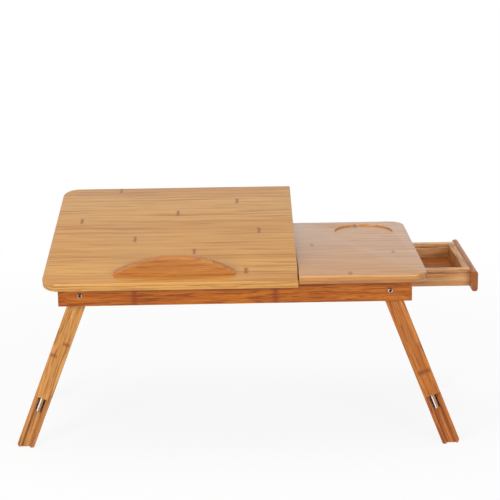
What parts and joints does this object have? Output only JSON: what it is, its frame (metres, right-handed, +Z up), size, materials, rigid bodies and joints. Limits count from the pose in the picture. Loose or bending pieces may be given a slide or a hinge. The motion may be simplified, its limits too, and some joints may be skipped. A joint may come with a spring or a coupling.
{
  "type": "folding laptop stand with drawer",
  "caption": "Folding bamboo laptop stand with a tilting panel and stop ledge, a fixed panel with cup recess, a side drawer and splayed telescopic legs.",
  "frame": {"origin": "on the floor, midway between the outermost foot and the front of the opened drawer, and midway between front and back", "axes": "+X towards the drawer, +Y towards the back, +Z up"},
  "size_m": [0.625, 0.3021, 0.3091],
  "materials": {
    "bamboo_top": "satin varnish on side-pressed bamboo",
    "bamboo_frame": "satin varnish on side-pressed bamboo",
    "bamboo_leg": "satin varnish on side-pressed bamboo",
    "bamboo_drawer": "thin varnish on side-pressed bamboo",
    "beech_dowel": "raw",
    "nickel_latch": "polished",
    "nickel_fasteners": "satin nickel",
    "zinc_hardware": "zinc plated",
    "black_plastic": "matte"
  },
  "bodies": {
    "frame": {"fixed_panel": "bamboo_top", "front_apron": "bamboo_frame", "rear_apron": "bamboo_frame", "left_side_board": "bamboo_frame", "right_side_board": "bamboo_frame", "front_inner_rail": "bamboo_frame", "rear_inner_rail": "bamboo_frame", "cross_rail": "bamboo_frame", "panel_dowels": "beech_dowel", "hinge_1_frame_leaf": "zinc_hardware", "hinge_2_frame_leaf": "zinc_hardware", "hinge_pins": "zinc_hardware", "hinge_frame_screws": "zinc_hardware", "left_stay_track": "zinc_hardware", "right_stay_track": "zinc_hardware", "track_screws": "zinc_hardware", "drawer_runners": "zinc_hardware", "drawer_stop": "bamboo_drawer", "leg_bolts": "nickel_fasteners", "leg_barrel_nuts": "nickel_fasteners", "leg_spacers": "black_plastic"},
    "tilting_top": {"tilting_panel": "bamboo_top", "stop_ledge": "bamboo_frame", "ledge_dowels": "beech_dowel", "hinge_1_panel_leaf": "zinc_hardware", "hinge_2_panel_leaf": "zinc_hardware", "hinge_panel_screws": "zinc_hardware", "left_stay_bracket": "zinc_hardware", "right_stay_bracket": "zinc_hardware", "stay_rivets": "zinc_hardware"},
    "left_stay": {"left_stay_arm": "zinc_hardware", "left_stay_knob": "black_plastic"},
    "right_stay": {"right_stay_arm": "zinc_hardware", "right_stay_knob": "black_plastic"},
    "drawer": {"drawer_front_side": "bamboo_drawer", "drawer_rear_side": "bamboo_drawer", "drawer_box_front": "bamboo_drawer", "drawer_back": "bamboo_drawer", "drawer_floor": "bamboo_drawer", "drawer_front_panel": "bamboo_drawer"},
    "left_front_upper": {"left_front_upper_leg": "bamboo_leg", "left_front_latch_pin": "nickel_latch"},
    "left_front_lower": {"left_front_lower_leg": "bamboo_leg"},
    "left_front_latch": {"left_front_latch": "nickel_latch"},
    "left_rear_upper": {"left_rear_upper_leg": "bamboo_leg", "left_rear_latch_pin": "nickel_latch"},
    "left_rear_lower": {"left_rear_lower_leg": "bamboo_leg"},
    "left_rear_latch": {"left_rear_latch": "nickel_latch"},
    "right_front_upper": {"right_front_upper_leg": "bamboo_leg", "right_front_latch_pin": "nickel_latch"},
    "right_front_lower": {"right_front_lower_leg": "bamboo_leg"},
    "right_front_latch": {"right_front_latch": "nickel_latch"},
    "right_rear_upper": {"right_rear_upper_leg": "bamboo_leg", "right_rear_latch_pin": "nickel_latch"},
    "right_rear_lower": {"right_rear_lower_leg": "bamboo_leg"},
    "right_rear_latch": {"right_rear_latch": "nickel_latch"}
  },
  "joints": [
    {"name": "tilt", "type": "hinge", "parent": "frame", "child": "tilting_top", "pos_m": [-0.012, -0.1271, 0.23717], "axis": [1, 0, 0], "range_deg": [-12.3, 25.7]},
    {"name": "left_stay_fold", "type": "hinge", "parent": "tilting_top", "child": "left_stay", "pos_m": [-0.012, -0.03264, 0.25434], "axis": [1, 0, 0], "range_deg": [-52, 25]},
    {"name": "right_stay_fold", "type": "hinge", "parent": "tilting_top", "child": "right_stay", "pos_m": [-0.012, -0.03264, 0.25434], "axis": [1, 0, 0], "range_deg": [-52, 25]},
    {"name": "drawer_slide", "type": "slide", "parent": "frame", "child": "drawer", "axis": [1, 0, 0], "range_m": [-0.084, 0.03]},
    {"name": "left_front_leg_fold", "type": "hinge", "parent": "frame", "child": "left_front_upper", "pos_m": [-0.2154, -0.09582, 0.22237], "axis": [0, -1, 0], "range_deg": [0, 111.5]},
    {"name": "left_front_leg_extend", "type": "slide", "parent": "left_front_upper", "child": "left_front_lower", "axis": [-0.3665, 0, -0.9304], "range_m": [0, 0.075]},
    {"name": "left_front_latch_press", "type": "hinge", "parent": "left_front_upper", "child": "left_front_latch", "pos_m": [-0.26378, -0.095, 0.09956], "axis": [-0.9304, 0, 0.3665], "range_deg": [-2.6, 3], "stiffness_Nm_per_rad": 0.5},
    {"name": "left_rear_leg_fold", "type": "hinge", "parent": "frame", "child": "left_rear_upper", "pos_m": [-0.2154, 0.09582, 0.22237], "axis": [0, -1, 0], "range_deg": [0, 111.5]},
    {"name": "left_rear_leg_extend", "type": "slide", "parent": "left_rear_upper", "child": "left_rear_lower", "axis": [-0.3665, 0, -0.9304], "range_m": [0, 0.075]},
    {"name": "left_rear_latch_press", "type": "hinge", "parent": "left_rear_upper", "child": "left_rear_latch", "pos_m": [-0.26378, 0.095, 0.09956], "axis": [0.9304, 0, -0.3665], "range_deg": [-2.6, 3], "stiffness_Nm_per_rad": 0.5},
    {"name": "right_front_leg_fold", "type": "hinge", "parent": "frame", "child": "right_front_upper", "pos_m": [0.1914, -0.10827, 0.22237], "axis": [0, 1, 0], "range_deg": [0, 111.5]},
    {"name": "right_front_leg_extend", "type": "slide", "parent": "right_front_upper", "child": "right_front_lower", "axis": [0.3665, 0, -0.9304], "range_m": [0, 0.075]},
    {"name": "right_front_latch_press", "type": "hinge", "parent": "right_front_upper", "child": "right_front_latch", "pos_m": [0.23978, -0.10745, 0.09956], "axis": [-0.9304, 0, -0.3665], "range_deg": [-2.6, 3], "stiffness_Nm_per_rad": 0.5},
    {"name": "right_rear_leg_fold", "type": "hinge", "parent": "frame", "child": "right_rear_upper", "pos_m": [0.1914, 0.10827, 0.22237], "axis": [0, 1, 0], "range_deg": [0, 111.5]},
    {"name": "right_rear_leg_extend", "type": "slide", "parent": "right_rear_upper", "child": "right_rear_lower", "axis": [0.3665, 0, -0.9304], "range_m": [0, 0.075]},
    {"name": "right_rear_latch_press", "type": "hinge", "parent": "right_rear_upper", "child": "right_rear_latch", "pos_m": [0.23978, 0.10745, 0.09956], "axis": [0.9304, 0, 0.3665], "range_deg": [-2.6, 3], "stiffness_Nm_per_rad": 0.5}
  ],
  "couplings": [
    {"joint": "left_stay_fold", "follows": "tilt", "ratio": -2},
    {"joint": "right_stay_fold", "follows": "tilt", "ratio": -2}
  ]
}
